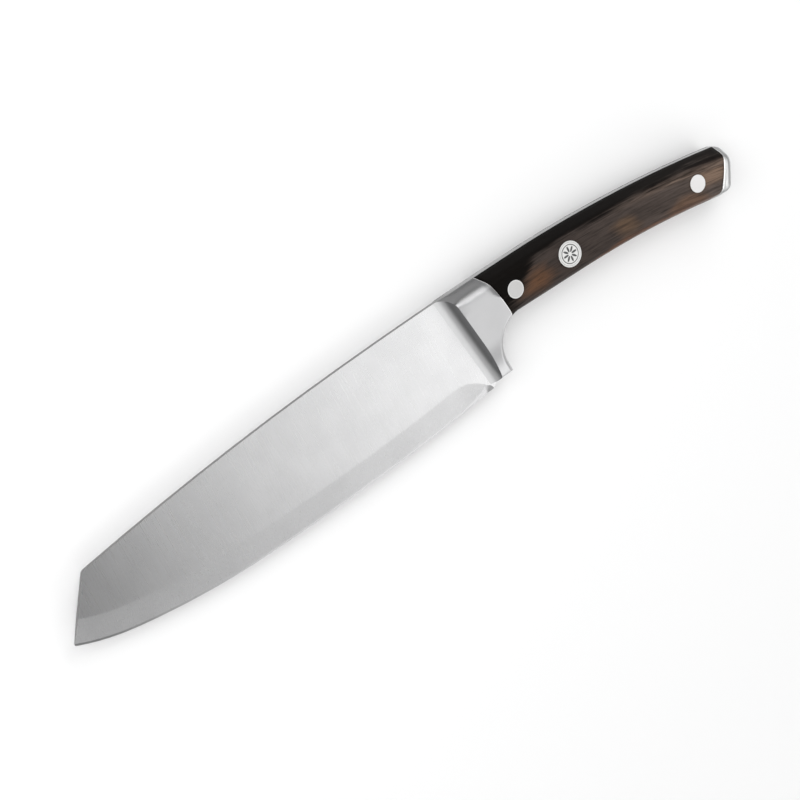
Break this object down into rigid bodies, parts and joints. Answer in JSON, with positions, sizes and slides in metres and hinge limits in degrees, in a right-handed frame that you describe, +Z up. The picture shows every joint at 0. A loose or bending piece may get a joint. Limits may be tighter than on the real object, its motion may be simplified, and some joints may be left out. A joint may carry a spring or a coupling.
{
  "type": "kiritsuke knife",
  "caption": "Full-tang kiritsuke kitchen knife with an angled K-tip blade, steel bolster and butt cap, and riveted dark wood scales.",
  "frame": {"origin": "on the surface that the knife lies on, below the middle of its bounding box", "axes": "+X along the knife from the blade's tip to the butt, +Y from the cutting edge to the spine, +Z up, out of the knife's left side"},
  "size_m": [0.3365, 0.0468, 0.018],
  "materials": {
    "blade_steel": "fine satin, ground along the bevel",
    "bolster_steel": "polished satin",
    "scale_wood": "dark brown laminated wood, satin",
    "cap_steel": "polished satin",
    "rivet_steel": "polished flush with the wood",
    "medallion_steel": "polished with an engraved rosette"
  },
  "bodies": {
    "root": {"blade_and_tang": "blade_steel", "bolster_left": "bolster_steel", "bolster_right": "bolster_steel", "scale_left": "scale_wood", "scale_right": "scale_wood", "butt_cap": "cap_steel", "front_rivet_left": "rivet_steel", "front_rivet_right": "rivet_steel", "middle_rivet_left": "rivet_steel", "middle_rivet_right": "rivet_steel", "rear_rivet_left": "rivet_steel", "rear_rivet_right": "rivet_steel", "medallion": "medallion_steel"}
  },
  "joints": []
}
